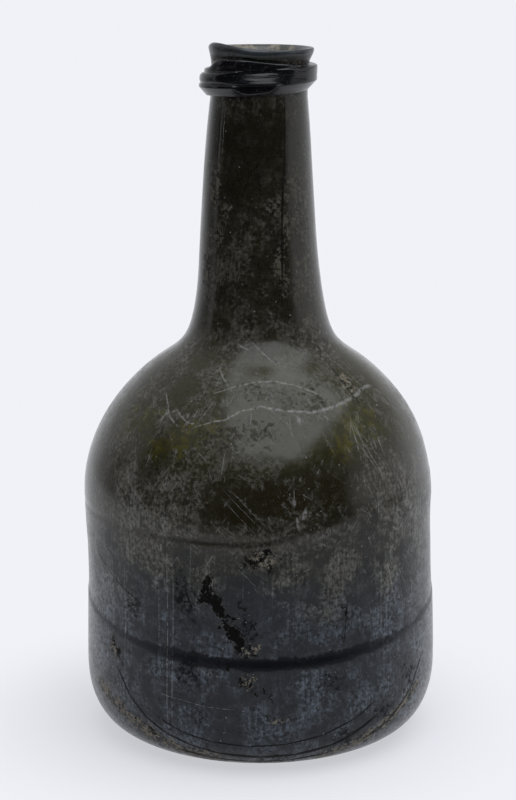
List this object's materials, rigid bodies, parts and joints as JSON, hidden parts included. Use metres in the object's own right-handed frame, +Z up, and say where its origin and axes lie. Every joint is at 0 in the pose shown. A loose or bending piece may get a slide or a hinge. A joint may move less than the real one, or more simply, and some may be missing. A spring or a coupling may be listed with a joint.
{
  "type": "wine bottle",
  "caption": "Free-blown dark glass wine bottle, squat round body with pushed-in base, tapering neck and wound string rim.",
  "frame": {"origin": "centre of the ring that the bottle stands on, on the supporting surface", "axes": "+Z up along the neck, -Y towards the front that the picture shows, +X to the right"},
  "size_m": [0.1163, 0.1158, 0.2268],
  "materials": {
    "vessel_glass": "dark olive glass, nearly opaque, with a grey weathered film, scratches and flaked crust",
    "rim_glass": "dark glass trail, tooled and fire polished, faint streaks along the winding",
    "scar_glass": "torn glass, broken surface"
  },
  "bodies": {
    "root": {"vessel": "vessel_glass", "string_rim": "rim_glass", "pontil_scar": "scar_glass"}
  },
  "joints": []
}
